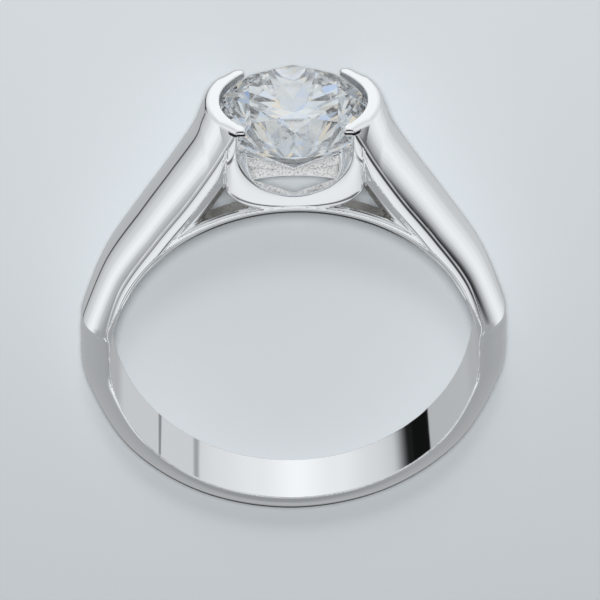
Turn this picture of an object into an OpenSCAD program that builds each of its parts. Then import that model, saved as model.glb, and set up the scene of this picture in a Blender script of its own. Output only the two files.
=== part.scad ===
// Solitaire engagement ring: a cast ring mount with two half-bezel walls and one round brilliant stone.
// The modules draw the ring as it is worn: X across the hand, Z up to the stone, Y along the finger.
// The module lie_down() lays it down on one side, which is how it rests by itself.

/* [Finger hole] */
// Inner diameter of the band, which is the ring size
bore_d = 17.3; // [17.1:0.05:17.5]
// Half of the hole's length where the rim's countersink begins
rim_half = 1.95; // [1.8:0.05:2.1]

/* [Band] */
// Thickness of the band at its sides, from the finger to its crest
band_t = 1.4; // [1.2:0.05:1.6]
// How much thicker the band is at its bottom
band_swell = 0.15; // [0:0.05:0.2]
// Width of the band at its bottom
band_w = 2.8; // [2.4:0.1:3.2]
// Height of the band's edge over the finger, where its round outside begins
band_foot = 0.2; // [0.15:0.05:0.3]
// Depth of the groove between the dome and the front rail of a shoulder
rail_groove = 0.14; // [0.05:0.01:0.2]

/* [Head] */
// Height of the bezel rims above the middle of the finger hole
rim_z = 13.6; // [13.4:0.1:14]
// Width of the head between its two flat sides
head_w = 5.2; // [5:0.1:5.4]
// Half width of the opening inside the rims, across the hand
lip_r = 3.36; // [3.32:0.01:3.4]
// Half length of the opening inside the rims, along the finger
lip_y = 2.92; // [2.88:0.01:3]
// Radius of the space under the stone
well_r = 2.45; // [2.4:0.05:2.6]
// Half width of the gap between the tips of the two rims
tip_gap = 2.2; // [2:0.05:2.4]
// Height of the notch under each tip
notch_z = 13.25; // [13.2:0.05:13.35]

/* [Cradle and gallery] */
// Half width of the opening above a cradle
cradle_x = 2.55; // [2.4:0.05:2.7]
// Depth of the cradle's curve
cradle_depth = 2.4; // [2.2:0.1:2.6]
// Height of the cradle's lowest point on its inner curve
cradle_z = 9.92; // [9.9:0.02:10.2]
// Radial thickness of the gallery bars over the finger hole
bar_t = 0.7; // [0.65:0.05:0.8]
// Half width of the slot between the two gallery bars
slot_half = 0.95; // [0.85:0.05:1]
// Half length of the slot across the finger
slot_x = 4.3; // [3.8:0.1:4.5]

/* [Stone] */
// Diameter of the stone
stone_d = 7; // [6.9:0.02:7.02]
// Height of the girdle's upper edge above the middle of the finger hole
girdle_z = 12.86; // [12.82:0.02:12.88]
// Thickness of the girdle
girdle_t = 0.14; // [0.1:0.01:0.16]
// Width of the table across its corners, as a share of the diameter
table_share = 0.62; // [0.56:0.01:0.64]
// Angle of the crown's main facets
crown_angle = 38; // [35:0.5:38.5]
// Angle of the pavilion's main facets
pavilion_angle = 40.8; // [40:0.2:41.4]
// Clearance between the stone and the metal
seat_gap = 0.05; // [0.04:0.01:0.08]

/* [Hidden] */
$fn = 96;

metal = [0.86, 0.87, 0.88];
crystal = [0.93, 0.96, 0.98];

bore_r = bore_d / 2;
crest_r = bore_r + band_t;
edge_r = bore_r + band_foot;
// A cutter reaches this much past the surface that it leaves through
past = 1;
// Overlap of two cutters that meet
seam = 0.05;

// The two flat sides lean towards each other, so the ring is a wedge that narrows to the band's bottom.
side_rise = (head_w - band_w) / 2 / (rim_z + crest_r);
function half_width(z) = band_w / 2 + side_rise * (z + crest_r);

// Stations of one shoulder, from the band up to the rim. Columns: crest x and z on the middle plane,
// edge x and z on the flat side, how far the dome turns towards the side (1 is a quarter turn),
// and the share of the groove.
CREST_X = 0;
CREST_Z = 1;
EDGE_X = 2;
EDGE_Z = 3;
TURN = 4;
GROOVE = 5;
// Away from the shoulders the groove fades to a fine break of the edge
edge_break = 0.25;
// Turn of the dome on the plain band, and where it meets the shoulders
band_turn = 0.95;
// Height over which the wall draws in to the rim
rim_round = 0.15;
function band_row(angle) =
    let (r = crest_r + band_swell * pow(sin(angle), 2))
        [r * cos(angle), r * sin(angle), edge_r * cos(angle), edge_r * sin(angle), band_turn, edge_break];
shoulder_rows = [
    band_row(-90),
    band_row(-64),
    band_row(-38),
    band_row(-12),
    [crest_r - 0.015, 0.55, edge_r - 0.01, 0.5, band_turn, edge_break],
    [crest_r - 0.17, 2.15, edge_r - 0.05, 2, 0.97, 0.6],
    [8.83, 4.95, 8.05, 4.6, 0.97, 1],
    [7.13, 7.75, 6.5, 7.2, 0.95, 1],
    [5.76, 9.9, 5.02, 9.4, 0.93, 1],
    [4.72, 11.65, 3.86, 11.35, 0.91, 1],
    [4.27, 12.85, 3.13, 12.75, 0.89, 1],
    [4.1, rim_z - rim_round, 2.8, rim_z - rim_round, 0.88, edge_break],
    [4.02, rim_z, 2.72, rim_z, 0.88, edge_break],
];
steps_per_row = 4;

// A smooth curve through the rows
function spline(a, b, c, d, t) =
    b + t * ((c - a) / 2 + t * (a - 2.5 * b + 2 * c - d / 2 + t * (1.5 * (b - c) + (d - a) / 2)));
function row_at(i) = shoulder_rows[max(0, min(len(shoulder_rows) - 1, i))];
function flip_x(s) = [-s[CREST_X], s[CREST_Z], -s[EDGE_X], s[EDGE_Z], s[TURN], s[GROOVE]];
function row_before(i) = i < 0 ? flip_x(row_at(1)) : row_at(i);
last_row = len(shoulder_rows) - 1;
side_stations = concat(
    [
        for (i = [0:last_row - 2])
            for (k = [0:steps_per_row - 1])
                spline(row_before(i - 1), row_at(i), row_at(i + 1), row_at(i + 2), k / steps_per_row)
    ],
    [row_at(last_row - 1), row_at(last_row)]
);
station_n = len(side_stations);
// All stations round the ring: up the right side, over the top and down the left side
stations = concat(side_stations, [for (i = [station_n - 1:-1:1]) flip_x(side_stations[i])]);

// Where a ring of points lies: share of the half width, from the flat side in to the middle plane
DOME_RINGS = 7;
dome_shares = [for (k = [0:DOME_RINGS]) cos(90 * k / DOME_RINGS)];

// How far the dome has fallen from its crest at a share of the half width
function dome_fall(share, turn) =
    (1 - sqrt(1 - pow(turn * share, 2))) / (1 - sqrt(1 - pow(turn, 2)));
function dome_point(s, share, inset) =
    let (
        fall = dome_fall(share, min(s[TURN], 1)),
        x = s[CREST_X] + fall * (s[EDGE_X] - s[CREST_X]),
        z = s[CREST_Z] + fall * (s[EDGE_Z] - s[CREST_Z])
    ) [x, share * (half_width(z) - inset * s[GROOVE]), z];

// The rail's outer edge, then the groove's floor, then the dome
function groove_point(s) =
    let (
        away = [s[EDGE_X] - s[CREST_X], s[EDGE_Z] - s[CREST_Z]],
        step = rail_groove * s[GROOVE] / norm(away),
        x = s[EDGE_X] + step * away[0],
        z = s[EDGE_Z] + step * away[1]
    ) [x, half_width(z), z];
front_rings = concat(
    [[for (s = stations) groove_point(s)]],
    [for (k = [0:DOME_RINGS]) [for (s = stations) dome_point(s, dome_shares[k], rail_groove)]]
);
// The middle ring is shared, so the other half leaves it out
back_rings = [for (k = [len(front_rings) - 2:-1:0]) [for (p = front_rings[k]) [p[0], -p[1], p[2]]]];
rings = concat(front_rings, back_rings);

module domed_disc() {
    n = len(stations);
    m = len(rings);
    polyhedron(
        points = [for (ring = rings) for (p = ring) p],
        faces = concat(
            [[for (i = [0:n - 1]) i]],
            [
                for (r = [0:m - 2])
                    for (i = [0:n - 1])
                        let (a = r * n + i, b = r * n + (i + 1) % n)
                            each [[a, a + n, b], [b, a + n, b + n]]
            ],
            [[for (i = [n - 1:-1:0]) (m - 1) * n + i]]
        )
    );
}

// Cuts a shape drawn in X and Z right through the ring along the finger
module through(width = head_w) {
    rotate([90, 0, 0]) linear_extrude(width + 2 * past, center = true) children();
}

// A shape drawn as radius and height, turned about the finger hole's axis
BORE_SIDES = 180;
module about_finger() {
    rotate([90, 0, 0]) rotate_extrude($fn = BORE_SIDES) children();
}

module finger_bore() {
    about_finger() polygon([
        [0, -head_w],
        [bore_r + head_w - rim_half, -head_w],
        [bore_r, -rim_half],
        [bore_r, rim_half],
        [bore_r + head_w - rim_half, head_w],
        [0, head_w],
    ]);
}

// Half width and lowest point of the cradle's outer curve, seen from the front
cradle_out_x = 3.47;
cradle_out_z = 9.02;
cradle_top = cradle_z + cradle_depth;
// A power of 2 draws an ellipse, and a higher one a squarer curve
cradle_in_power = 2;
cradle_out_power = 3.2;
CRADLE_STEPS = 16;
function cradle_curve(half_x, depth, power) = [
    for (k = [0:CRADLE_STEPS])
        let (a = 180 * k / CRADLE_STEPS)
            [
                -half_x * sign(cos(a)) * pow(abs(cos(a)), 2 / power),
                cradle_top - depth * pow(sin(a), 2 / power)
            ]
];

// Triangular windows between a shoulder, a cradle and the gallery bars
window_foot = [4.32, 8.0];
window_peak = [3.0, 10.25];
window_tip = [1.7, 9.3];
module window_outline() {
    difference() {
        polygon([
            window_foot,
            window_peak,
            [window_tip[0], window_peak[1]],
            window_tip,
            [window_tip[0], bore_r],
            [window_foot[0], bore_r - past],
        ]);
        polygon(cradle_curve(cradle_out_x, cradle_top - cradle_out_z, cradle_out_power));
    }
}

// Section of the two gallery bars: their upper corner is bevelled, and their tops dip towards the slot
bar_edge = 0.18;
bar_bevel_y = 0.2;
bar_bevel_r = 0.15;
bar_dip = 0.33;
module gallery_bars() {
    top_r = bore_r + bar_t;
    low_r = top_r - bar_bevel_r;
    top_y = rim_half + bar_edge;
    about_finger() polygon([
        [0, -head_w],
        [low_r, -head_w],
        [low_r, -top_y - bar_bevel_y],
        [top_r, -top_y],
        [top_r - bar_dip, seam - slot_half],
        [top_r - bar_dip, slot_half - seam],
        [top_r, top_y],
        [low_r, top_y + bar_bevel_y],
        [low_r, head_w],
        [0, head_w],
    ]);
}

module windows() {
    difference() {
        for (side = [0, 1]) mirror([side, 0, 0]) through() window_outline();
        gallery_bars();
    }
}

// The opening over a cradle narrows inwards to a channel with a V-shaped floor, this wide and this high
channel_x = 2.1;
channel_z = 9.08;
channel_rise = 0.4;

// The slot stops just above the bars, and under the channel it runs on up to the stone
slot_over = 0.1;
module gallery_slot() {
    intersection() {
        translate([-slot_x, -slot_half, 0]) cube([2 * slot_x, 2 * slot_half, cradle_z]);
        about_finger() translate([0, -head_w]) square([bore_r + bar_t + slot_over, 2 * head_w]);
    }
    translate([seam - channel_x, -slot_half, 0]) cube([2 * (channel_x - seam), 2 * slot_half, cradle_top]);
}

// The space around and under the stone, turned about the stone's axis
girdle_r = stone_d / 2;
girdle_low_z = girdle_z - girdle_t;
// The well's floor is a shallow cone, which dips towards the slot between the bars
well_floor_z = 10.15;
floor_dip_z = 9.95;
// Slope of the rims' underside, a little steeper than the stone's crown
lip_angle = 43;
lip_in_r = 2.8;
module stone_well() {
    groove_r = girdle_r + seat_gap;
    lip_under_z = girdle_z + (groove_r - lip_in_r) * tan(lip_angle) + seat_gap;
    bearing_z = girdle_low_z - (groove_r - well_r) * tan(pavilion_angle) - seat_gap;
    rotate_extrude() polygon([
        [0, floor_dip_z],
        [well_r, well_floor_z],
        [well_r, bearing_z],
        [groove_r, girdle_low_z - seat_gap],
        [groove_r, girdle_z + seat_gap],
        [lip_in_r, lip_under_z],
        [lip_in_r, rim_z + past],
        [0, rim_z + past],
    ]);
    // The opening inside the rims is an oval, so they are thicker towards their tips
    translate([0, 0, girdle_z]) linear_extrude(rim_z - girdle_z + past) scale([lip_r, lip_y]) circle(1);
}

// The opening between the tips of the rims and down to the cradles, as it shows on a flat side
module front_opening() {
    polygon(concat(
        cradle_curve(cradle_x, cradle_depth, cradle_in_power),
        [[cradle_x, notch_z], [-cradle_x, notch_z]]
    ));
}
module side_opening() {
    front_y = half_width(cradle_z);
    through() translate([-tip_gap, cradle_top]) square([2 * tip_gap, rim_z - cradle_top + past]);
    for (side = [0, 1]) mirror([0, side, 0]) {
        translate([0, front_y + past, 0]) rotate([90, 0, 0]) linear_extrude(past) front_opening();
        hull() {
            translate([0, front_y + seam, 0]) rotate([90, 0, 0]) linear_extrude(seam) front_opening();
            translate([0, slot_half, 0]) rotate([90, 0, 0]) linear_extrude(slot_half) polygon([
                [0, channel_z],
                [channel_x, channel_z + channel_rise * channel_x],
                [channel_x, notch_z],
                [-channel_x, notch_z],
                [-channel_x, channel_z + channel_rise * channel_x],
            ]);
        }
    }
}

module ring_mount() {
    color(metal) lie_down() difference() {
        domed_disc();
        windows();
        gallery_slot();
        stone_well();
        side_opening();
        finger_bore();
    }
}

// Round brilliant: heights of its corners follow from the facet angles
FOLD = 8;
HALF_STEP = 180 / FOLD;
table_r = stone_d / 2 * table_share;
table_h = (girdle_r - table_r) * tan(crown_angle);
culet_z = girdle_low_z - girdle_r * tan(pavilion_angle);
// The corner between two crown mains lies halfway from the table's side to the girdle
star_r = (table_r * cos(HALF_STEP) + girdle_r) / 2;
star_z = girdle_z + table_h - (star_r * cos(HALF_STEP) - table_r) * tan(crown_angle);
// The corner between two pavilion mains lies near the culet, at this share of the radius
lower_share = 0.24;
lower_r = girdle_r * lower_share;
lower_z = culet_z + lower_r * cos(HALF_STEP) * tan(pavilion_angle);
function corner_ring(r, z, n, turn) = [
    for (i = [0:n - 1]) let (a = turn + 360 * i / n) [r * cos(a), r * sin(a), z]
];

module brilliant() {
    table_0 = 0;
    star_0 = FOLD;
    top_0 = 2 * FOLD;
    low_0 = 4 * FOLD;
    lower_0 = 6 * FOLD;
    culet = 7 * FOLD;
    girdle_n = 2 * FOLD;
    polyhedron(
        points = concat(
            corner_ring(table_r, girdle_z + table_h, FOLD, 0),
            corner_ring(star_r, star_z, FOLD, HALF_STEP),
            corner_ring(girdle_r, girdle_z, girdle_n, 0),
            corner_ring(girdle_r, girdle_low_z, girdle_n, 0),
            corner_ring(lower_r, lower_z, FOLD, HALF_STEP),
            [[0, 0, culet_z]]
        ),
        faces = concat(
            [[for (i = [FOLD - 1:-1:0]) table_0 + i]],
            [
                for (i = [0:FOLD - 1])
                    let (
                        j = (i + 1) % FOLD,
                        h = (i + FOLD - 1) % FOLD,
                        g = 2 * i,
                        g1 = 2 * i + 1,
                        g2 = (2 * i + 2) % girdle_n
                    ) each [
                        [table_0 + i, table_0 + j, star_0 + i],
                        [table_0 + i, star_0 + i, top_0 + g, star_0 + h],
                        [star_0 + i, top_0 + g1, top_0 + g],
                        [star_0 + i, top_0 + g2, top_0 + g1],
                        [top_0 + g, top_0 + g1, low_0 + g1, low_0 + g],
                        [top_0 + g1, top_0 + g2, low_0 + g2, low_0 + g1],
                        [lower_0 + i, low_0 + g, low_0 + g1],
                        [lower_0 + i, low_0 + g1, low_0 + g2],
                        [culet, lower_0 + h, low_0 + g, lower_0 + i],
                    ]
            ]
        )
    );
}

module center_stone() {
    color(crystal) lie_down() rotate([0, 0, HALF_STEP]) brilliant();
}

// Lays the worn ring down at Z = 0, with the origin under the middle of its outline. It rests on the
// stone's girdle, which stands out between the rims, and on the edge of the band.
foot_z = rail_groove * edge_break - edge_r;
foot_y = half_width(foot_z);
lean = atan((girdle_r - foot_y) / (girdle_low_z - foot_z));
lay_top = (girdle_z + table_h) * cos(lean) + table_r * cos(HALF_STEP) * sin(lean);
lay_bottom = -(crest_r + band_swell) * cos(lean);
module lie_down() {
    translate([0, -(lay_top + lay_bottom) / 2, foot_y * cos(lean) - foot_z * sin(lean)])
        rotate([lean - 90, 0, 0])
            children();
}

ring_mount();
center_stone();
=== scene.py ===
import math

import bmesh
import bpy
import numpy as np
from mathutils import Matrix, Vector


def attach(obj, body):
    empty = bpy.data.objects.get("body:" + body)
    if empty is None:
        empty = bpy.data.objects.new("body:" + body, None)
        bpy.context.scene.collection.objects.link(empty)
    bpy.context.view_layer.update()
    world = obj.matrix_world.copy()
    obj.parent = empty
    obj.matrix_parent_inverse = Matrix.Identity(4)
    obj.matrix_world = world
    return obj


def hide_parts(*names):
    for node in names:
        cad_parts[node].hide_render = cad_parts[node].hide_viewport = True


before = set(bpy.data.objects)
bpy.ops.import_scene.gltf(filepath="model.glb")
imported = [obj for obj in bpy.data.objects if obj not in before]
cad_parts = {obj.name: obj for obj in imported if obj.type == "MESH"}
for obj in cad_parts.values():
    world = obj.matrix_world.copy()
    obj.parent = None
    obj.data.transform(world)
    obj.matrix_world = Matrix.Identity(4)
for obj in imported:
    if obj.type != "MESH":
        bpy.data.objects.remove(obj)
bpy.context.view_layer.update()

MM = 0.001

# Named sizes in millimetres, the same as in the part's source
BORE_R = 8.65
RIM_HALF = 1.95
BAND_T = 1.4
BAND_W = 2.8
BAND_FOOT = 0.2
BAND_SWELL = 0.15
RAIL_GROOVE = 0.14
EDGE_BREAK = 0.25
RIM_Z = 13.6
HEAD_W = 5.2
LIP_R = 3.36
LIP_Y = 2.92
LIP_IN_R = 2.8
LIP_ANGLE = 43.0
WELL_R = 2.45
TIP_GAP = 2.2
NOTCH_Z = 13.25
CRADLE_X = 2.55
CRADLE_DEPTH = 2.4
CRADLE_Z = 9.92
CRADLE_OUT_X = 3.47
CRADLE_OUT_Z = 9.02
CRADLE_OUT_POWER = 3.2
BAR_T = 0.7
BAR_DIP = 0.33
BAR_BEVEL_Y = 0.2
BAR_BEVEL_R = 0.15
BAR_EDGE = 0.18
BAR_TOP_Y = RIM_HALF + BAR_EDGE
SLOT_HALF = 0.95
SLOT_X = 4.3
SLOT_OVER_BAR = 0.1
WELL_FLOOR_Z = 10.15
FLOOR_DIP_Z = 9.95
CHANNEL_X = 2.1
CHANNEL_Z = 9.08
CHANNEL_RISE = 0.4
STONE_R = 3.5
GIRDLE_Z = 12.86
GIRDLE_T = 0.14
TABLE_SHARE = 0.62
CROWN_ANGLE = 38.0
PAVILION_ANGLE = 40.8
LOWER_SHARE = 0.24
SEAT_GAP = 0.05
# Half the angle between two neighbouring main facets, in degrees
HALF_STEP = 22.5

# Sizes that only this finer mesh has: the outside of the cradle's arms beside the rail, the slot's top,
# and a saw cut under each tip of the rims
VALLEY_FOOT = (3.24, 10.3)
VALLEY_TOP = (3.1, 11.9)
SLOT_TOP_Z = 10.6
SAW_Z = 13.36
SAW_HALF = 0.05
SAW_X = (2.0, 2.95)
SAW_Y = 2.2

CREST_R = BORE_R + BAND_T
EDGE_R = BORE_R + BAND_FOOT
# The round outside of the plain band runs down nearly to the finger hole
FINE_EDGE_R = BORE_R + 0.04
CRADLE_TOP = CRADLE_Z + CRADLE_DEPTH
GIRDLE_LOW_Z = GIRDLE_Z - GIRDLE_T
SIDE_RISE = (HEAD_W - BAND_W) / 2 / (RIM_Z + CREST_R)


def half_width(z):
    return BAND_W / 2 + SIDE_RISE * (z + CREST_R)


def band_row(angle):
    cos_a, sin_a = math.cos(math.radians(angle)), math.sin(math.radians(angle))
    crest = CREST_R + BAND_SWELL * sin_a * sin_a
    return (crest * cos_a, crest * sin_a, FINE_EDGE_R * cos_a, FINE_EDGE_R * sin_a, 0.93, EDGE_BREAK)


# Columns: crest x, crest z, edge x, edge z, dome turn, groove share
SHOULDER_ROWS = [
    band_row(-90), band_row(-64), band_row(-38), band_row(-12),
    (CREST_R - 0.015, 0.55, FINE_EDGE_R + 0.01, 0.5, 0.93, EDGE_BREAK),
    (CREST_R - 0.08, 1.45, FINE_EDGE_R + 0.05, 1.3, 0.94, EDGE_BREAK),
    (CREST_R - 0.17, 2.15, EDGE_R - 0.05, 2.0, 0.97, 0.6),
    (8.83, 4.95, 8.05, 4.6, 0.97, 1),
    (7.13, 7.75, 6.5, 7.2, 0.95, 1),
    (5.76, 9.9, 5.02, 9.4, 0.93, 1),
    (4.72, 11.65, 3.86, 11.35, 0.91, 1),
    (4.27, 12.85, 3.13, 12.75, 0.89, 1),
    (4.02, RIM_Z, 2.72, RIM_Z, 0.88, 1),
    (3.7, 14.7, 2.3, 14.6, 0.86, 1),
]


def station_curve(steps=40):
    """Catmull-Rom through the rows, right side only."""
    rows = np.array(SHOULDER_ROWS)
    before = rows[1] * np.array([-1, 1, -1, 1, 1, 1])
    extended = np.vstack([before, rows, 2 * rows[-1] - rows[-2]])
    out = []
    for i in range(len(rows) - 1):
        a, b, c, d = extended[i:i + 4]
        for k in range(steps):
            t = k / steps
            cubic = 1.5 * (b - c) + (d - a) / 2
            out.append(b + t * ((c - a) / 2 + t * (a - 2.5 * b + 2 * c - d / 2 + t * cubic)))
    out.append(rows[-1])
    return np.array(out)


def polar_table(x, z, steps=6000, reach=60):
    """Radius of an outline against its angle, and the share of a radial step that is across the outline."""
    angle = np.arctan2(z, x)
    grid = np.linspace(-np.pi / 2, angle.max(), steps)
    radius = np.interp(grid, angle, np.hypot(x, z))
    kernel = np.hanning(reach + 1)
    kernel /= kernel.sum()
    padded = np.concatenate([radius[reach:0:-1], radius, 2 * radius[-1] - radius[-2:-reach - 2:-1]])
    radius = np.convolve(padded, kernel, "same")[reach:-reach]
    slope = np.gradient(radius, grid) / radius
    return grid, radius, 1 / np.sqrt(1 + slope ** 2)


STATIONS = station_curve()
CREST_TABLE = polar_table(STATIONS[:, 0], STATIONS[:, 1])
EDGE_TABLE = polar_table(STATIONS[:, 2], STATIONS[:, 3])


def outline_dist(table, x, z):
    angle = np.arctan2(z, np.abs(x))
    angles, radii, share = table
    return (np.hypot(x, z) - np.interp(angle, angles, radii)) * np.interp(angle, angles, share)


def soft_max(a, b, width):
    near = np.maximum(width - np.abs(a - b), 0) / width
    return np.maximum(a, b) + near * near * width * 0.25


def soft_min(a, b, width):
    return -soft_max(-a, -b, width)


def segment_line(x, z, p, q):
    """Signed distance to the line from p to q, positive on its right."""
    dx, dz = q[0] - p[0], q[1] - p[1]
    length = math.hypot(dx, dz)
    return ((x - p[0]) * dz - (z - p[1]) * dx) / length


def oval_dist(x, z, half_x, depth, power, top):
    """Rough signed distance to the lower half of a superellipse under height top, open upwards."""
    share_x = np.abs(x) / half_x
    share_z = np.maximum(top - z, 0) / depth
    total = (share_x ** power + share_z ** power + 1e-9)
    value = total ** (1 / power) - 1
    slope_x = share_x ** (power - 1) / half_x
    slope_z = share_z ** (power - 1) / depth
    slope = np.sqrt(slope_x ** 2 + slope_z ** 2 + 1e-9) * total ** (1 / power - 1)
    return value / np.maximum(slope, 0.15)


# The rail's inner edge on the flat side, from its top end to the window's foot
RAIL_TOP = (3.08, 12.62)
RAIL_BEND = (3.58, 10.70)
RAIL_FOOT = (5.86, 6.88)
BEVEL_X = 0.56
BEVEL_Y = 0.28
BEVEL_START = 0.7
BEVEL_END = 0.76
PILLOW = 0.06
# Outside of the cradle the recess falls away, so that the cradle's arm has an edge
ARM_EDGE = 0.03
ARM_FALL = 2.0
RECESS_FROM_Z = 5.5
WINDOW_TOP = 10.4
# The window's lowest level, which rises towards the band
WINDOW_LOW = 8.0
WINDOW_LOW_SHARE = 1.3


def front_recess(z, radius, oval_out, oval_in, rail):
    """How far the front steps back from the flat side: a bevel inside the rail, a rounded cradle."""
    share = np.maximum(rail, 0) / BEVEL_X
    off_rail = BEVEL_Y * share * (BEVEL_START + (1 - BEVEL_START) * share)
    across = np.clip((oval_in + oval_out) / np.maximum(oval_in - oval_out, 0.2), -1, 1)
    off_cradle = PILLOW * across ** 2 + ARM_FALL * np.maximum(oval_out + ARM_EDGE, 0)
    off_bar = np.maximum(radius - (BORE_R + BAR_T - BAR_BEVEL_R), 0) * BAR_BEVEL_Y / BAR_BEVEL_R
    recess = soft_min(soft_min(off_rail, off_cradle, 0.15), off_bar, 0.1)
    return np.clip(recess, 0, 2 * BEVEL_Y) * np.clip(z - RECESS_FROM_Z, 0, 1)


# The rail is crowned about its middle, as far in as the reach
CROWN = 0.475
CROWN_MIDDLE = 0.36
CROWN_REACH = 0.66
# Beside the bore the rail has a chamfer, which widens towards the plain band. Columns: height, width
CHAMFER = [(0.6, 0.0), (2.0, 0.3), (3.0, 0.2), (3.9, 0.12), (5.5, 0.08)]
CHAMFER_SLOPE = 0.6
SQUARE_TURN = 0.9995


def body(x, y, z, recess):
    """Signed distance to the metal before its openings are cut."""
    abs_y = np.abs(y)
    half = half_width(z)
    groove = RAIL_GROOVE * np.interp(z, *GROOVE_TABLE)
    turn = np.interp(z, *TURN_TABLE)
    dome_half = half - groove
    from_crest = outline_dist(CREST_TABLE, x, z)
    from_edge = outline_dist(EDGE_TABLE, x, z)
    depth = np.maximum(from_edge - from_crest, 0.2)
    full_depth = depth / (1 - np.sqrt(1 - np.minimum(turn, SQUARE_TURN) ** 2))
    rise = np.maximum((from_crest + full_depth) / full_depth, 0.0)
    across = turn * abs_y / dome_half
    reach = np.sqrt(rise * rise + across * across)
    slope = np.sqrt((rise / full_depth) ** 2 + (across * turn / dome_half) ** 2) / np.maximum(reach, 0.3)
    dome = (reach - 1) / np.maximum(slope, 0.05)
    dome = soft_max(dome, abs_y - dome_half, 0.02)
    # the rail stands up beside the groove
    crown = CROWN * (np.clip(-from_edge, 0, CROWN_REACH) - CROWN_MIDDLE) ** 2 * np.clip((z - 1) / 2, 0, 1)
    strip = np.interp(z, *zip(*CHAMFER))
    recess = recess + CHAMFER_SLOPE * np.maximum(strip - (np.hypot(x, z) - BORE_R), 0)
    bevel = (from_edge + abs_y - dome_half) * math.sqrt(0.5)
    rail = soft_max(soft_max(abs_y - half + crown, bevel, 0.05), from_edge, 0.05)
    side = abs_y - half + recess + np.where(recess > 0, crown, 0)
    return soft_max(soft_min(dome, rail, 0.03), side, 0.03)


def eased(pairs, width=1.0, step=0.01):
    """A table of a value against the height, with its corners rounded over the width."""
    grid = np.arange(-12, 16, step)
    kernel = np.hanning(round(width / step) | 1)
    value = np.interp(grid, *zip(*pairs))
    return grid, np.convolve(np.pad(value, len(kernel) // 2, "edge"), kernel / kernel.sum(), "valid")


# Columns: height, how far the dome turns towards the flat side
TURN_TABLE = eased([(-20, 0.93), (0.5, 0.94), (2.1, 0.98), (4.9, 0.97), (7.6, 0.95), (9.8, 0.93),
                    (11.6, 0.91), (12.8, 0.89), (13.6, 0.88), (20, 0.86)])
# Columns: height, share of the groove beside the rail
GROOVE_TABLE = eased([(-20, 0.25), (0.5, 0.25), (2.1, 0.6), (4.9, 1), (20, 1)])


# Rounding of the edge that each cut leaves
RIM_ROUND = 0.22
WINDOW_ROUND = 0.14
SLOT_ROUND = 0.03
WELL_ROUND = 0.05
OPENING_ROUND = 0.12
SAW_ROUND = 0.03
# Columns: height, rounding of the finger hole's edge
HOLE_ROUND = [(1, 0.04), (4, 0.1)]


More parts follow.
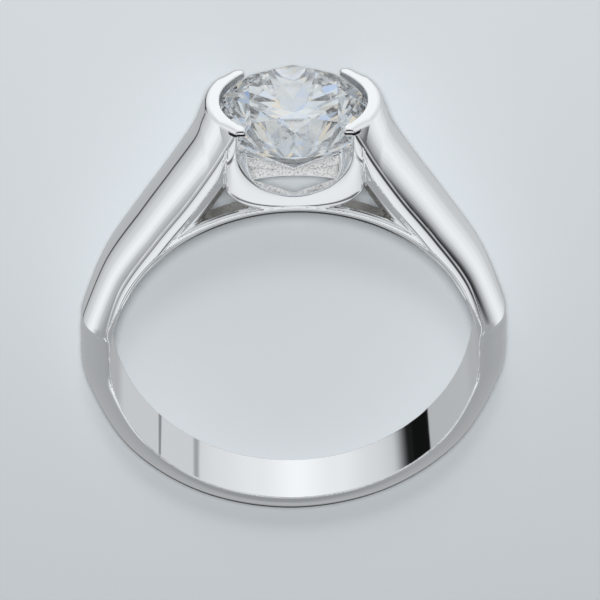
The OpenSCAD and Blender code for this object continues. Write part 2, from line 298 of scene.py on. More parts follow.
def field(x, y, z):
    """Signed distance to the whole metal of the worn ring, less than zero inside of it."""
    abs_y = np.abs(y)
    abs_x = np.abs(x)
    half = half_width(z)
    radius = np.hypot(x, z)
    oval_out = oval_dist(x, z, CRADLE_OUT_X, CRADLE_TOP - CRADLE_OUT_Z, CRADLE_OUT_POWER, CRADLE_TOP)
    valley = np.maximum(segment_line(abs_x, z, VALLEY_FOOT, VALLEY_TOP),
                        segment_line(abs_x, z, VALLEY_TOP, RAIL_TOP))
    oval_out = soft_max(oval_out, valley, 0.1)
    oval_in = oval_dist(x, z, CRADLE_X, CRADLE_DEPTH, 2.0, CRADLE_TOP)
    rail = np.maximum(-segment_line(abs_x, z, RAIL_FOOT, RAIL_BEND),
                      -segment_line(abs_x, z, RAIL_BEND, RAIL_TOP))
    metal = body(x, y, z, front_recess(z, radius, oval_out, oval_in, rail))
    # finger hole with its countersink
    over = np.maximum(abs_y - RIM_HALF, 0)
    hole = (BORE_R + over - radius) * np.where(abs_y > RIM_HALF, math.sqrt(0.5), 1.0)
    # window: rail side, cradle side and gallery bars
    depth = half - abs_y
    wall = BEVEL_X + (BEVEL_END - BEVEL_X) * np.clip((depth - BEVEL_Y) / BEVEL_Y, -1, 1)
    top_r = BORE_R + BAR_T
    bar_top = top_r - BAR_DIP * np.clip((BAR_TOP_Y - abs_y) / (BAR_TOP_Y - SLOT_HALF), 0, 1)
    window = soft_max(soft_max(wall - rail, -oval_out, 0.12), bar_top - radius, 0.08)
    window = soft_max(np.maximum(window, WINDOW_LOW - z * WINDOW_LOW_SHARE), z - WINDOW_TOP, 0.05)
    # slot between the bars
    under = np.minimum(np.maximum(abs_x - SLOT_X, radius - (top_r + SLOT_OVER_BAR)),
                       np.maximum(abs_x - CHANNEL_X, z - SLOT_TOP_Z))
    slot = np.maximum(np.maximum(abs_y - SLOT_HALF, under), -z)
    # stone well
    stone_radius = np.hypot(x, y)
    groove_r = STONE_R + SEAT_GAP
    lip_under = GIRDLE_Z + (groove_r - LIP_IN_R) * math.tan(math.radians(LIP_ANGLE)) + SEAT_GAP
    bearing = GIRDLE_LOW_Z - (groove_r - WELL_R) * math.tan(math.radians(PAVILION_ANGLE)) - SEAT_GAP
    heights = [6, FLOOR_DIP_Z, WELL_FLOOR_Z, bearing,
               GIRDLE_LOW_Z - SEAT_GAP, GIRDLE_Z + SEAT_GAP, lip_under, 20]
    radii = [0, 0, WELL_R, WELL_R, groove_r, groove_r, LIP_IN_R, LIP_IN_R]
    profile = np.interp(z, heights, radii)
    slope = np.interp(z, heights, np.concatenate([[0], np.abs(np.diff(radii)) / np.diff(heights)]))
    well = (stone_radius - profile) / np.sqrt(1 + np.minimum(slope, 1.2) ** 2)
    well = np.maximum(well, (BORE_R - 1) - z)
    # the rims are thicker towards their tips, so their opening is an oval
    lip = np.sqrt((x / LIP_R) ** 2 + (y / LIP_Y) ** 2)
    lip = (lip - 1) * lip / np.maximum(np.sqrt((x / LIP_R ** 2) ** 2 + (y / LIP_Y ** 2) ** 2), 0.05)
    well = np.minimum(well, np.maximum(lip, GIRDLE_Z - z))
    # opening over the cradle: an oval on the flat side, a narrower V at the slot
    channel = (CHANNEL_Z + CHANNEL_RISE * abs_x - z) / math.sqrt(1 + CHANNEL_RISE ** 2)
    channel = np.maximum(channel, abs_x - CHANNEL_X)
    share = np.clip((abs_y - SLOT_HALF) / (half_width(CRADLE_Z) - SLOT_HALF), 0, 1)
    opening = channel + share * (oval_in - channel)
    opening = np.maximum(opening, z - NOTCH_Z)
    tips = np.maximum(abs_x - TIP_GAP, CRADLE_TOP - z)
    opening = soft_min(opening, tips, 0.04)
    # saw cut under each rim tip
    saw = np.maximum(np.abs(z - SAW_Z) - SAW_HALF, np.maximum(SAW_X[0] - abs_x, abs_x - SAW_X[1]))
    saw = np.maximum(saw, SAW_Y - abs_y)
    metal = soft_max(metal, z - RIM_Z, RIM_ROUND)
    metal = soft_max(metal, hole, np.interp(z, *zip(*HOLE_ROUND)))
    metal = soft_max(metal, -window, WINDOW_ROUND)
    metal = soft_max(metal, -slot, SLOT_ROUND)
    metal = soft_max(metal, -well, WELL_ROUND)
    metal = soft_max(metal, -opening, OPENING_ROUND)
    return soft_max(metal, -saw, SAW_ROUND)


def surface_nets(step, low, high):
    """Vertices and quads of the field's zero surface, on a grid from low to high."""
    size = [int(round((b - a) / step)) + 1 for a, b in zip(low, high)]
    lines = [a + step * np.arange(k) for a, k in zip(low, size)]
    value = np.empty(size, np.float32)
    for i in range(0, size[0], 16):
        x, y, z = np.meshgrid(lines[0][i:i + 16], lines[1], lines[2], indexing="ij")
        value[i:i + 16] = field(x, y, z)
    inside = value < 0
    corners = [(a, b, c) for a in (0, 1) for b in (0, 1) for c in (0, 1)]
    inside_count = np.zeros([k - 1 for k in size], np.uint8)
    for a, b, c in corners:
        inside_count += inside[a:size[0] - 1 + a, b:size[1] - 1 + b, c:size[2] - 1 + c]
    active = (inside_count > 0) & (inside_count < 8)
    index = np.full(active.shape, -1, np.int64)
    cells = np.argwhere(active)
    index[active] = np.arange(len(cells))
    # a cell's vertex is the middle of the places where its edges cross the surface
    total = np.zeros((len(cells), 3))
    count = np.zeros(len(cells))
    for start in corners:
        for axis in range(3):
            if start[axis] == 1:
                continue
            end = list(start)
            end[axis] = 1
            at_start = value[tuple((cells + start).T)]
            at_end = value[tuple((cells + end).T)]
            crosses = (at_start < 0) != (at_end < 0)
            place = np.tile(np.array(start, float), (len(cells), 1))
            place[:, axis] += np.where(crosses, at_start / np.where(crosses, at_start - at_end, 1), 0)
            total += place * crosses[:, None]
            count += crosses
    verts = (cells + total / count[:, None]) * step + np.array(low)
    # a quad joins the four cells round each crossed edge
    quads = []
    for axis in range(3):
        a, b = (axis + 1) % 3, (axis + 2) % 3
        before = [slice(None)] * 3
        after = [slice(None)] * 3
        before[axis] = slice(0, -1)
        after[axis] = slice(1, None)
        crosses = inside[tuple(before)] != inside[tuple(after)]
        inner = [slice(None)] * 3
        inner[a] = slice(1, -1)
        inner[b] = slice(1, -1)
        edges = np.argwhere(crosses[tuple(inner)])
        edges[:, a] += 1
        edges[:, b] += 1

        def cell(step_a, step_b):
            near = edges.copy()
            near[:, a] += step_a
            near[:, b] += step_b
            return index[tuple(near.T)]

        quad = np.stack([cell(-1, -1), cell(0, -1), cell(0, 0), cell(-1, 0)], 1)
        flip = ~inside[tuple(edges.T)]
        quad[flip] = quad[flip][:, ::-1]
        quads.append(quad)
    return verts, np.concatenate(quads)


def gradient(points, eps=0.01):
    slope = np.empty_like(points)
    for k in range(3):
        offset = np.zeros(3)
        offset[k] = eps
        a, b = points + offset, points - offset
        slope[:, k] = (field(a[:, 0], a[:, 1], a[:, 2]) - field(b[:, 0], b[:, 1], b[:, 2])) / (2 * eps)
    return slope


def project(points, free, steps, cap=0.04):
    """Moves points onto the surface, along the axes in which they are free."""
    for _ in range(steps):
        distance = field(points[:, 0], points[:, 1], points[:, 2])
        slope = gradient(points) * free
        share = distance / np.maximum((slope * slope).sum(1), 0.05)
        points = points - np.clip(share, -cap, cap)[:, None] * slope
    return points


# Worn frame to row frame
FOOT_Z = RAIL_GROOVE * EDGE_BREAK - EDGE_R
FOOT_Y = half_width(FOOT_Z)
LEAN = math.atan((STONE_R - FOOT_Y) / (GIRDLE_LOW_Z - FOOT_Z))
SIN_L, COS_L = math.sin(LEAN), math.cos(LEAN)
TABLE_R = STONE_R * TABLE_SHARE
TABLE_H = (STONE_R - TABLE_R) * math.tan(math.radians(CROWN_ANGLE))
LAY_TOP = (GIRDLE_Z + TABLE_H) * COS_L + TABLE_R * math.cos(math.radians(HALF_STEP)) * SIN_L
LAY_BOTTOM = -(CREST_R + BAND_SWELL) * COS_L
ORIGIN_Y = -(LAY_TOP + LAY_BOTTOM) / 2
ORIGIN_Z = FOOT_Y * COS_L - FOOT_Z * SIN_L

# Rows of the matrix that turns worn directions into row directions
TURN = np.array([[1, 0, 0], [0, SIN_L, COS_L], [0, -COS_L, SIN_L]])


def to_row(points):
    return (points @ TURN.T + np.array([0, ORIGIN_Y, ORIGIN_Z])) * MM


# Metal mesh
CELL = 0.05
NEAR_PLANE = 0.2 * CELL
QUARTER_TRIANGLES = 47000
# The quarter's box, with half a cell beyond each mirror plane
BOX_LOW = (-CELL / 2, -CELL / 2, -10.3)
BOX_HIGH = (10.4, 2.9, 13.9)


def mesh_object(name, verts, faces):
    mesh = bpy.data.meshes.new(name)
    mesh.vertices.add(len(verts))
    mesh.vertices.foreach_set("co", np.ascontiguousarray(verts, np.float32).ravel())
    mesh.loops.add(faces.size)
    mesh.loops.foreach_set("vertex_index", np.ascontiguousarray(faces, np.int32).ravel())
    mesh.polygons.add(len(faces))
    mesh.polygons.foreach_set("loop_start", np.arange(len(faces), dtype=np.int32) * faces.shape[1])
    mesh.update(calc_edges=True)
    mesh.validate()
    ob = bpy.data.objects.new(name, mesh)
    bpy.context.scene.collection.objects.link(ob)
    return ob


def put_on_planes(verts, on_x, on_y):
    """Moves points onto the mirror planes, and gives the axes in which each point stays free."""
    verts[on_x, 0] = 0
    verts[on_y, 1] = 0
    free = np.ones_like(verts)
    free[on_x, 0] = 0
    free[on_y, 1] = 0
    return free


def quarter_mesh():
    verts, quads = surface_nets(CELL, BOX_LOW, BOX_HIGH)
    free = put_on_planes(verts, verts[:, 0] < CELL / 2, verts[:, 1] < CELL / 2)
    ob = mesh_object("quarter", project(verts, free, 2), quads)
    fewer = ob.modifiers.new("fewer", "DECIMATE")
    fewer.ratio = QUARTER_TRIANGLES / (2 * len(quads))
    bpy.context.view_layer.update()
    evaluated = ob.evaluated_get(bpy.context.evaluated_depsgraph_get())
    reduced = evaluated.to_mesh()
    bm = bmesh.new()
    bm.from_mesh(reduced)
    bmesh.ops.triangulate(bm, faces=bm.faces[:])
    evaluated.to_mesh_clear()
    bm.verts.ensure_lookup_table()
    verts = np.array([vert.co[:] for vert in bm.verts])
    tris = np.array([[vert.index for vert in face.verts] for face in bm.faces])
    bm.free()
    mesh = ob.data
    bpy.data.objects.remove(ob)
    bpy.data.meshes.remove(mesh)
    # only the open border lies on the mirror planes
    edges = np.sort(np.concatenate([tris[:, [0, 1]], tris[:, [1, 2]], tris[:, [2, 0]]]), axis=1)
    pairs, count = np.unique(edges, axis=0, return_counts=True)
    border = np.zeros(len(verts), bool)
    border[pairs[count == 1].ravel()] = True
    on_x = border & (verts[:, 0] < NEAR_PLANE)
    on_y = border & (verts[:, 1] < NEAR_PLANE)
    free = put_on_planes(verts, on_x, on_y)
    return project(verts, free, 4), tris, on_x, on_y


def mirrored(verts, tris, on, axis):
    """Adds the mirror image, sharing the vertices that lie on the mirror plane."""
    image = verts.copy()
    image[:, axis] *= -1
    index = np.where(on, np.arange(len(verts)), np.cumsum(~on) - 1 + len(verts))
    return np.vstack([verts, image[~on]]), np.vstack([tris, index[tris][:, ::-1]])


LONG_EDGE = 0.15
INWARD_SHARE = 0.2


def corner_normals(verts, tris):
    """Normals of the smooth shape at each triangle's corners, taken a little inside of a long triangle."""
    corners = verts[tris]
    long = np.linalg.norm(corners - np.roll(corners, 1, axis=1), axis=2).max(axis=1) > LONG_EDGE
    inward = np.where(long, INWARD_SHARE, 0.0)[:, None, None]
    corners = corners + inward * (corners.mean(axis=1, keepdims=True) - corners)
    normals = gradient(corners.reshape(-1, 3), 0.008)
    normals /= np.maximum(np.linalg.norm(normals, axis=1), 1e-9)[:, None]
    return normals.reshape(-1, 3, 3)


def make_metal():
    verts, tris, on_x, on_y = quarter_mesh()
    normals = corner_normals(verts, tris)
    normals = np.vstack([normals, normals[:, ::-1] * (-1, 1, 1)])
    normals = np.vstack([normals, normals[:, ::-1] * (1, -1, 1)])
    verts, tris = mirrored(verts, tris, on_x, 0)
    on_y = np.concatenate([on_y, on_y[~on_x]])
    verts, tris = mirrored(verts, tris, on_y, 1)
    ob = mesh_object("polished_mount", to_row(verts), tris)
    ob.data.shade_smooth()
    ob.data.normals_split_custom_set((normals @ TURN.T).reshape(-1, 3))
    return ob


metal_ob = make_metal()


# Stone
def make_stone():
    """A round brilliant cut by planes out of a fine cylinder, which scallops the girdle as on a real one."""
    bm = bmesh.new()
    sides = 128
    spare = 0.3
    step = 2 * HALF_STEP
    top = GIRDLE_Z + TABLE_H
    culet = GIRDLE_LOW_Z - STONE_R * math.tan(math.radians(PAVILION_ANGLE))
    low = culet - spare
    bmesh.ops.create_cone(bm, cap_ends=True, segments=sides, radius1=STONE_R, radius2=STONE_R,
                          depth=top - low, matrix=Matrix.Translation((0, 0, (top + low) / 2)))
    cuts = []

    def cut(turn, tilt, radius, z):
        """A plane through the point at the radius and height z, tilted from level, facing angle turn."""
        angle = math.radians(turn)
        slope = math.radians(tilt)
        level = math.sin(slope)
        normal = Vector((math.cos(angle) * level, math.sin(angle) * level, math.cos(slope)))
        cuts.append((Vector((math.cos(angle) * radius, math.sin(angle) * radius, z)), normal))

    def cut_halves(girdle_z, meet_r, meet_z, side):
        """16 planes, each through two points of the girdle and the meeting point of three facets."""
        for i in range(16):
            a0 = math.radians(HALF_STEP + HALF_STEP * i)
            a1 = a0 + math.radians(HALF_STEP)
            meet_a = a1 if i % 2 == 0 else a0
            p0 = Vector((STONE_R * math.cos(a0), STONE_R * math.sin(a0), girdle_z))
            p1 = Vector((STONE_R * math.cos(a1), STONE_R * math.sin(a1), girdle_z))
            p2 = Vector((meet_r * math.cos(meet_a), meet_r * math.sin(meet_a), meet_z))
            normal = (p1 - p0).cross(p2 - p0).normalized()
            cuts.append((p0, normal if normal.z * side > 0 else -normal))

    # crown: mains meet the girdle at the table's corners, stars lie over the table's sides
    half_cos = math.cos(math.radians(HALF_STEP))
    star_r = (TABLE_R * half_cos + STONE_R) / 2
    star_z = top - (star_r * half_cos - TABLE_R) * math.tan(math.radians(CROWN_ANGLE))
    star_drop = math.degrees(math.atan((top - star_z) / (star_r - TABLE_R * half_cos)))
    for i in range(8):
        angle = HALF_STEP + step * i
        cut(angle, CROWN_ANGLE, STONE_R, GIRDLE_Z)
        cut(angle + HALF_STEP, star_drop, TABLE_R * half_cos, top)
    cut_halves(GIRDLE_Z, star_r, star_z, 1)
    # pavilion
    lower_r = STONE_R * LOWER_SHARE
    lower_z = culet + lower_r * half_cos * math.tan(math.radians(PAVILION_ANGLE))
    for i in range(8):
        angle = HALF_STEP + step * i
        cut(angle, 180 - PAVILION_ANGLE, STONE_R, GIRDLE_LOW_Z)
    cut_halves(GIRDLE_LOW_Z, lower_r, lower_z, -1)
    for point, normal in cuts:
        result = bmesh.ops.bisect_plane(bm, geom=bm.verts[:] + bm.edges[:] + bm.faces[:], dist=1e-5,
                                        plane_co=point, plane_no=normal, clear_outer=True)
        border = [e for e in result["geom_cut"] if isinstance(e, bmesh.types.BMEdge) and e.is_boundary]
        if border:
            bmesh.ops.holes_fill(bm, edges=border, sides=0)
    bmesh.ops.dissolve_limit(bm, angle_limit=math.radians(0.05), verts=bm.verts[:], edges=bm.edges[:])
    bmesh.ops.recalc_face_normals(bm, faces=bm.faces[:])
    bmesh.ops.triangulate(bm, faces=bm.faces[:])
    shift = (0, ORIGIN_Y, ORIGIN_Z)
    bm.transform(Matrix([[*(TURN[k] * MM), shift[k] * MM] for k in range(3)] + [[0, 0, 0, 1]]))
    mesh = bpy.data.meshes.new("brilliant_stone")
    bm.to_mesh(mesh)
    bm.free()
    ob = bpy.data.objects.new("brilliant_stone", mesh)
    bpy.context.scene.collection.objects.link(ob)
    return ob


stone_ob = make_stone()


# Materials
def new_material(name):
    material = bpy.data.materials.new(name)
    material.use_nodes = True
    tree = material.node_tree
    return material, tree, tree.nodes["Principled BSDF"]


def link(tree, source, target):
    tree.links.new(source, target)


def object_point(tree):
    return tree.nodes.new("ShaderNodeTexCoord").outputs["Object"]


def noise(tree, coords, scale, detail=3, rough=0.5):
    node = tree.nodes.new("ShaderNodeTexNoise")
    node.inputs["Scale"].default_value = scale
    node.inputs["Detail"].default_value = detail
    node.inputs["Roughness"].default_value = rough
    link(tree, coords, node.inputs["Vector"])
    return node.outputs["Fac"]


def remap(tree, value, from_low, from_high, to_low, to_high):
    node = tree.nodes.new("ShaderNodeMapRange")
    for k, x in zip(("From Min", "From Max", "To Min", "To Max"), (from_low, from_high, to_low, to_high)):
        node.inputs[k].default_value = x
    link(tree, value, node.inputs["Value"])
    return node.outputs["Result"]


def math_node(tree, op, a, b=None, c=None):
    node = tree.nodes.new("ShaderNodeMath")
    node.operation = op
    for k, x in enumerate((a, b, c)):
        if x is None:
            continue
        if isinstance(x, (int, float)):
            node.inputs[k].default_value = x
        else:
            link(tree, x, node.inputs[k])
    return node.outputs[0]


def mix_value(tree, fac, a, b):
    node = tree.nodes.new("ShaderNodeMix")
    node.data_type = "FLOAT"
    link(tree, fac, node.inputs["Factor"])
    for k, x in (("A", a), ("B", b)):
        if isinstance(x, (int, float)):
            node.inputs[k].default_value = x
        else:
            link(tree, x, node.inputs[k])
    return node.outputs[0]


def squared(tree, value):
    return math_node(tree, "POWER", value, 2)


def dot(tree, vector, v):
    node = tree.nodes.new("ShaderNodeVectorMath")
    node.operation = "DOT_PRODUCT"
    link(tree, vector, node.inputs[0])
    node.inputs[1].default_value = v
    return node.outputs["Value"]


def worn_mm(tree, coords):
    """Sideways and along the finger from the middle, and the height, of a point of the worn ring."""
    out = []
    for k in range(3):
        v = TURN[:, k] / MM
        shift = -(TURN[1, k] * ORIGIN_Y + TURN[2, k] * ORIGIN_Z)
        out.append(math_node(tree, "ADD", dot(tree, coords, v), shift))
    return math_node(tree, "ABSOLUTE", out[0]), math_node(tree, "ABSOLUTE", out[1]), out[2]


def between(tree, value, low, high):
    """One inside a range and zero outside of it."""
    return math_node(tree, "COMPARE", value, (low + high) / 2, (high - low) / 2)


def all_of(tree, first, *others):
    for other in others:
        first = math_node(tree, "MULTIPLY", first, other)
    return first


def mix_colour(tree, fac, a, b):
    node = tree.nodes.new("ShaderNodeMix")
    node.data_type = "RGBA"
    link(tree, fac, node.inputs["Factor"])
    for k, x in (("A", a), ("B", b)):
        if isinstance(x, tuple):
            node.inputs[k].default_value = x
        else:
            link(tree, x, node.inputs[k])
    return node.outputs["Result"]


# Bounds of the head's inside, where the skin of the casting is left, in millimetres
HEAD_X = 5.2
HEAD_FROM_Z = 7
HEAD_FLOOR_R = 9.9
# How near to a cut surface a point of it lies, in millimetres, and for the oval as a share
SKIN = 0.04
THIN_SKIN = 0.02
WIDE_SKIN = 0.06
OVAL_SKIN = (0.985, 1.012)


def unpolished_places(tree, point):
    """Where the metal keeps the skin of the casting, where the window bars' tops get painted shade, where it
    is filed, and where the saw cuts get painted shade.
    """
    x, y, z = worn_mm(tree, point)
    radius = math_node(tree, "SQRT", math_node(tree, "ADD", squared(tree, x), squared(tree, z)))
    near_head = all_of(tree, between(tree, x, -1, HEAD_X), between(tree, z, HEAD_FROM_Z, 20))
    fall = BAR_DIP / (BAR_TOP_Y - SLOT_HALF)
    bar_r = math_node(tree, "MULTIPLY_ADD", y, fall, BORE_R + BAR_T - fall * BAR_TOP_Y)
    over_bar = math_node(tree, "SUBTRACT", radius, bar_r)
    bar_top = all_of(tree, near_head, between(tree, over_bar, -SKIN, SKIN),
                     between(tree, y, -1, BAR_TOP_Y - SKIN))
    slot_wall = all_of(tree, near_head, between(tree, y, SLOT_HALF - THIN_SKIN, SLOT_HALF + THIN_SKIN),
                       between(tree, radius, BORE_R + 2 * SKIN, HEAD_FLOOR_R))
    cast = math_node(tree, "MAXIMUM", bar_top, slot_wall)
    # painted shade: the bars' tops inside the windows are given a darker colour for the shade under the head
    shaded_window_bar = all_of(tree, bar_top, between(tree, x, CHANNEL_X, 6))
    # the oval wall over the girdle is filed, and the saw cuts get painted shade
    shares = [squared(tree, math_node(tree, "DIVIDE", side, size)) for side, size in ((x, LIP_R), (y, LIP_Y))]
    oval = math_node(tree, "SQRT", math_node(tree, "ADD", *shares))
    lip_wall = all_of(tree, between(tree, z, GIRDLE_Z, RIM_Z - WIDE_SKIN), between(tree, oval, *OVAL_SKIN))
    # painted shade: the saw cuts under the rim tips are made nearly black
    painted_saw_shade = all_of(tree, between(tree, z, SAW_Z - WIDE_SKIN, SAW_Z + WIDE_SKIN),
                     between(tree, x, SAW_X[0] + 0.02, SAW_X[1] - 0.01),
                     between(tree, y, SAW_Y + 0.05, RIM_HALF + 0.6))
    return cast, shaded_window_bar, lip_wall, painted_saw_shade


def metal_material():
    material, tree, shader = new_material("polished_white_metal")
    point = object_point(tree)
    cast, shaded_window_bar, lip_wall, painted_saw_shade = unpolished_places(tree, point)
    # painted shade: the bars' tops inside the windows are made a darker brown-grey
    painted_bar_shade = mix_colour(tree, shaded_window_bar, (1, 1, 1, 1), (0.55, 0.53, 0.50, 1))
    pickled = math_node(tree, "SUBTRACT", cast, shaded_window_bar)
    link(tree, remap(tree, pickled, 0, 1, 1, 0.25), shader.inputs["Metallic"])
    # faint polishing haze, and the grainy skin of the casting
    polish = remap(tree, noise(tree, point, 900, 4, 0.6), 0.3, 0.7, 0.02, 0.05)
    rough_cast = remap(tree, noise(tree, point, 9000, 3, 0.6), 0.3, 0.7, 0.25, 0.5)
    rough = mix_value(tree, math_node(tree, "MAXIMUM", cast, lip_wall), polish, rough_cast)
    link(tree, mix_value(tree, painted_saw_shade, rough, 0.7), shader.inputs["Roughness"])
    pits = remap(tree, noise(tree, point, 11000, 3, 0.7), 0.38, 0.5, 0, 1)
    skin = mix_colour(tree, pits, (0.5, 0.49, 0.48, 1), (1, 1, 1, 1))
    # the casting's pitted skin, multiplied by the painted shade of the window bars
    pitted_and_shaded = tree.nodes.new("ShaderNodeMix")
    pitted_and_shaded.data_type = "RGBA"
    pitted_and_shaded.blend_type = "MULTIPLY"
    pitted_and_shaded.inputs["Factor"].default_value = 1.0
    link(tree, skin, pitted_and_shaded.inputs["A"])
    link(tree, painted_bar_shade, pitted_and_shaded.inputs["B"])
    tint = mix_colour(tree, cast, (0.94, 0.95, 0.96, 1), pitted_and_shaded.outputs["Result"])
    filed = mix_colour(tree, noise(tree, point, 6000, 3, 0.6), (0.3, 0.3, 0.31, 1), (0.8, 0.8, 0.8, 1))
    tint = mix_colour(tree, lip_wall, tint, filed)
    # painted shade in the saw cuts: near black with a mottle, and rougher
    shade_mottle = remap(tree, noise(tree, point, 5000, 2), 0.4, 0.6, 0, 1)
    saw_shade_colour = mix_colour(tree, shade_mottle, (0.02, 0.02, 0.03, 1), (0.30, 0.31, 0.34, 1))
    link(tree, mix_colour(tree, painted_saw_shade, tint, saw_shade_colour), shader.inputs["Base Color"])
    grain = math_node(tree, "MULTIPLY", noise(tree, point, 9000, 4, 0.7), 0.02)
    soft = math_node(tree, "MULTIPLY", noise(tree, point, 350, 2, 0.5), 0.0004)
    bump = tree.nodes.new("ShaderNodeBump")
    bump.inputs["Strength"].default_value = 1.0
    bump.inputs["Distance"].default_value = 0.001
    link(tree, mix_value(tree, cast, soft, grain), bump.inputs["Height"])
    link(tree, bump.outputs["Normal"], shader.inputs["Normal"])
    return material


def stone_material():
    material, tree, shader = new_material("clear_brilliant")
    shader.inputs["Base Color"].default_value = (0.985, 0.99, 1.0, 1)
    shader.inputs["Metallic"].default_value = 0.0
    shader.inputs["IOR"].default_value = 2.42
    shader.inputs["Transmission Weight"].default_value = 1.0
    rough = remap(tree, noise(tree, object_point(tree), 500, 2), 0.4, 0.6, 0.015, 0.035)
    link(tree, rough, shader.inputs["Roughness"])
    return material


def floor_material():
    material, tree, shader = new_material("pale_floor")
    point = object_point(tree)
    ramp = tree.nodes.new("ShaderNodeValToRGB")
    ramp.color_ramp.elements[0].color = (0.665, 0.705, 0.735, 1)
    ramp.color_ramp.elements[1].color = (0.685, 0.725, 0.755, 1)
    link(tree, noise(tree, point, 40, 3), ramp.inputs["Fac"])
    link(tree, ramp.outputs["Color"], shader.inputs["Base Color"])
    shader.inputs["Roughness"].default_value = 0.9
    shader.inputs["Specular IOR Level"].default_value = 0.1
    return material


metal_ob.data.materials.append(metal_material())
stone_ob.data.materials.append(stone_material())

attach(metal_ob, "root")
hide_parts("ring_mount")
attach(stone_ob, "root")
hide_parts("center_stone")

# Floor
FLOOR_HALF = 0.6
floor_mesh = bpy.data.meshes.new("floor")
corners = [(FLOOR_HALF * i, FLOOR_HALF * j, 0) for i, j in ((-1, -1), (1, -1), (1, 1), (-1, 1))]
floor_mesh.from_pydata(corners, [], [(0, 1, 2, 3)])
floor = bpy.data.objects.new("floor", floor_mesh)
bpy.context.scene.collection.objects.link(floor)
floor_mesh.materials.append(floor_material())
floor.visible_glossy = False
floor.visible_transmission = False

# Studio light
# Brightness round the ring at three heights of view, as it is worn. Columns: direction in degrees, with
# 0 in front and 90 to the right, and brightness
FLOOR_RING = [(-180, 0.44), (-160, 0.44), (-110, 0.41), (-60, 0.38), (-38, 0.34), (-20, 0.68), (0, 0.86),
              (18, 0.72), (35, 0.4), (60, 0.37), (110, 0.4), (160, 0.44), (180, 0.44)]
SIDE_RING = [(-180, 0.53), (-139.5, 0.48), (-137.8, 0.05), (-136.2, 0.08), (-134, 0.51), (-120, 0.66),
             (-106, 0.84), (-98, 0.92), (-90, 0.91), (-80, 0.78), (-68, 0.55), (-55, 0.44), (-40, 0.34),
             (-36, 0.12), (-30, 0.12), (-24, 0.6), (-12, 0.85), (0, 0.85), (12, 0.75), (28, 0.4),
             (40, 0.06), (55, 0.03), (64, 0.15), (72, 0.36), (80, 0.52), (90, 0.72), (98, 0.83),
             (108, 0.9), (120, 0.85), (131, 0.74), (142, 0.6), (180, 0.53)]
TOP_RING = [(-180, 0.97), (-160, 0.85), (-145, 0.69), (-120, 0.7), (-90, 0.85), (-60, 0.6), (-20, 0.5),
            (0, 0.5), (30, 0.5), (60, 0.6), (90, 0.85), (120, 0.75), (145, 0.74), (160, 0.83), (180, 0.97)]
# Small dark and bright places. Columns: two for the direction and two for the half sizes in degrees,
# brightness, softness of the border
SPOTS = [(0, 40, 26, 20, 0.03, 0.25), (-143, 7, 14, 6, 0.012, 0.65), (-143, 2.6, 12, 4.5, 0.006, 0.12),
         (180, -56, 24, 14, 0.05, 0.6), (0, -80, 60, 12, 0.3, 0.6),
         (10, -51, 30, 2.5, 0.15, 0.5), (40, -54, 12, 7, 0.95, 0.5), (-40, -54, 12, 7, 0.95, 0.5),
         (143, 6, 16, 9, 0.63, 0.12), (143, -3.2, 14, 0.7, 0.25, 0.5), (143, 15, 10, 1.1, 0.36, 0.7)]
# Heights of view over which one ring of brightness gives way to the next
FLOOR_TO_SIDE = (-33, -26)
SIDE_TO_TOP = (8, 24)
# The rings are a little cool, and the spots cooler
RING_TINT = (0.97, 0.995, 1.015)
SPOT_TINT = (0.97, 1, 1.03)
WORLD_ON_FLOOR = 0.15
WORLD_IN_STONE = 1.22
FIRE_SHARE = 0.65
# Columns: place on the noise, colour
FIRE = [(0.3, (0.14, 0.33, 0.70)), (0.7, (0.68, 0.55, 0.34)),
        (0.42, (0.40, 0.48, 0.56)), (0.55, (0.48, 0.52, 0.51))]


def tinted(value, tint):
    return (*(value * part for part in tint), 1)


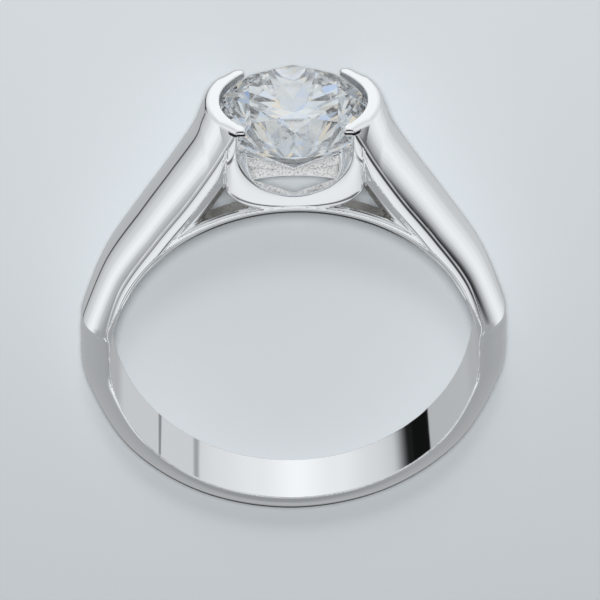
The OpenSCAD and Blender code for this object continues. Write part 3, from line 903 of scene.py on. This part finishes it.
def studio_world():
    world = bpy.data.worlds.new("studio")
    bpy.context.scene.world = world
    world.use_nodes = True
    tree = world.node_tree
    background = tree.nodes["Background"]
    view = tree.nodes.new("ShaderNodeTexCoord").outputs["Generated"]
    degrees = 180 / math.pi
    front = dot(tree, view, (0, -SIN_L, COS_L))
    right_part = dot(tree, view, (1, 0, 0))
    azimuth = math_node(tree, "MULTIPLY", math_node(tree, "ARCTAN2", right_part, front), degrees)
    height_part = dot(tree, view, (0, COS_L, SIN_L))
    elevation = math_node(tree, "MULTIPLY", math_node(tree, "ARCSINE", height_part), degrees)
    turn = remap(tree, azimuth, -180, 180, 0, 1)

    def ring(table):
        node = tree.nodes.new("ShaderNodeValToRGB")
        ramp = node.color_ramp
        ramp.interpolation = "EASE"
        while len(ramp.elements) > 1:
            ramp.elements.remove(ramp.elements[-1])
        for i, (angle, value) in enumerate(table):
            position = (angle + 180) / 360
            stop = ramp.elements[0] if i == 0 else ramp.elements.new(position)
            stop.position = position
            stop.color = tinted(value, RING_TINT)
        link(tree, turn, node.inputs["Fac"])
        return node.outputs["Color"]

    def smooth(value, a, b):
        node = tree.nodes.new("ShaderNodeMapRange")
        node.interpolation_type = "SMOOTHSTEP"
        node.inputs["From Min"].default_value = a
        node.inputs["From Max"].default_value = b
        link(tree, value, node.inputs["Value"])
        return node.outputs["Result"]

    light = mix_colour(tree, smooth(elevation, *FLOOR_TO_SIDE), ring(FLOOR_RING), ring(SIDE_RING))
    light = mix_colour(tree, smooth(elevation, *SIDE_TO_TOP), light, ring(TOP_RING))
    for spot_az, spot_el, half_az, half_el, value, soft in SPOTS:
        off = tree.nodes.new("ShaderNodeMath")
        off.operation = "WRAP"
        link(tree, math_node(tree, "SUBTRACT", azimuth, spot_az), off.inputs[0])
        off.inputs[1].default_value = 180
        off.inputs[2].default_value = -180
        above = math_node(tree, "SUBTRACT", elevation, spot_el)
        parts = [squared(tree, math_node(tree, "DIVIDE", math_node(tree, "ABSOLUTE", part), half))
                 for part, half in ((off.outputs[0], half_az), (above, half_el))]
        far = math_node(tree, "SQRT", math_node(tree, "ADD", *parts))
        light = mix_colour(tree, smooth(far, 1 - soft, 1 + soft), tinted(value, SPOT_TINT), light)
    path = tree.nodes.new("ShaderNodeLightPath")
    # light that went through the stone is split into faint colours
    fire = tree.nodes.new("ShaderNodeValToRGB")
    for i, (place, colour) in enumerate(FIRE):
        stop = fire.color_ramp.elements[i] if i < 2 else fire.color_ramp.elements.new(place)
        stop.position = place
        stop.color = (*colour, 1)
    link(tree, noise(tree, view, 5, 1), fire.inputs["Fac"])
    split = math_node(tree, "MULTIPLY", path.outputs["Is Transmission Ray"], FIRE_SHARE)
    light = mix_colour(tree, split, light, fire.outputs["Color"])
    link(tree, light, background.inputs["Color"])
    # most of the floor's light comes from the lamps, so that the ring throws only a soft shadow
    on_floor = remap(tree, path.outputs["Is Diffuse Ray"], 0, 1, 1, WORLD_ON_FLOOR)
    in_stone = remap(tree, path.outputs["Is Transmission Ray"], 0, 1, 1, WORLD_IN_STONE)
    link(tree, math_node(tree, "MULTIPLY", on_floor, in_stone), background.inputs["Strength"])


studio_world()


def area_light(name, place, size, watts):
    light = bpy.data.lights.new(name, "AREA")
    light.shape = "DISK"
    light.size = size
    light.energy = watts
    ob = bpy.data.objects.new(name, light)
    ob.location = place
    ob.rotation_euler = (-Vector(place)).to_track_quat("-Z", "Y").to_euler()
    bpy.context.scene.collection.objects.link(ob)
    ob.visible_glossy = False
    ob.visible_transmission = False
    ob.visible_camera = False


# Camera
# The photograph looks down at the worn ring from the front, from 200 mm
LOOK_DOWN = math.radians(37)
YAW = math.radians(1.6)
DISTANCE = 200.0
FOCAL_PIXELS = 21.15 * DISTANCE
AIM_X, AIM_UP = 0.30, 1.745
IMAGE = 600
SENSOR = 36.0


def worn_from_camera(point):
    x, y, z = point
    return np.array([x * math.cos(YAW) + y * math.sin(YAW), -x * math.sin(YAW) + y * math.cos(YAW), z])


look_sin, look_cos = math.sin(LOOK_DOWN), math.cos(LOOK_DOWN)
eye = worn_from_camera((AIM_X, AIM_UP * look_sin - DISTANCE * look_cos,
                        AIM_UP * look_cos + DISTANCE * look_sin))
right = worn_from_camera((1, 0, 0)) @ TURN.T
up = worn_from_camera((0, look_sin, look_cos)) @ TURN.T
back = worn_from_camera((0, -look_cos, look_sin)) @ TURN.T
place = to_row(eye[None])[0]
# the key lamp stands in the line of sight, a little farther than the camera, and a second one
# stands more nearly overhead, for the soft shadow in front of the band
LAMP_DISTANCE = 0.30
OVERHEAD = math.radians(18)
over = back * math.cos(OVERHEAD) + up * math.sin(OVERHEAD)
# Columns: name, place, size in metres, watts
LAMPS = [
    ("key", tuple(back * LAMP_DISTANCE), 0.045, 0.66),
    ("over", tuple(over * LAMP_DISTANCE), 0.05, 0.15),
    ("low", (-0.03, 0.25, 0.17), 0.12, 0.12),
]
for lamp in LAMPS:
    area_light(*lamp)
camera_data = bpy.data.cameras.new("camera")
camera_data.sensor_width = SENSOR
camera_data.lens = FOCAL_PIXELS / IMAGE * SENSOR
camera_data.clip_start = 0.01
camera = bpy.data.objects.new("camera", camera_data)
camera.matrix_world = Matrix([[right[i], up[i], back[i], place[i]] for i in range(3)] + [[0, 0, 0, 1]])
bpy.context.scene.collection.objects.link(camera)
bpy.context.scene.camera = camera

scene = bpy.context.scene
scene.view_settings.view_transform = "Standard"
scene.view_settings.look = "None"
scene.cycles.max_bounces = 24
scene.cycles.glossy_bounces = 16
scene.cycles.transmission_bounces = 20
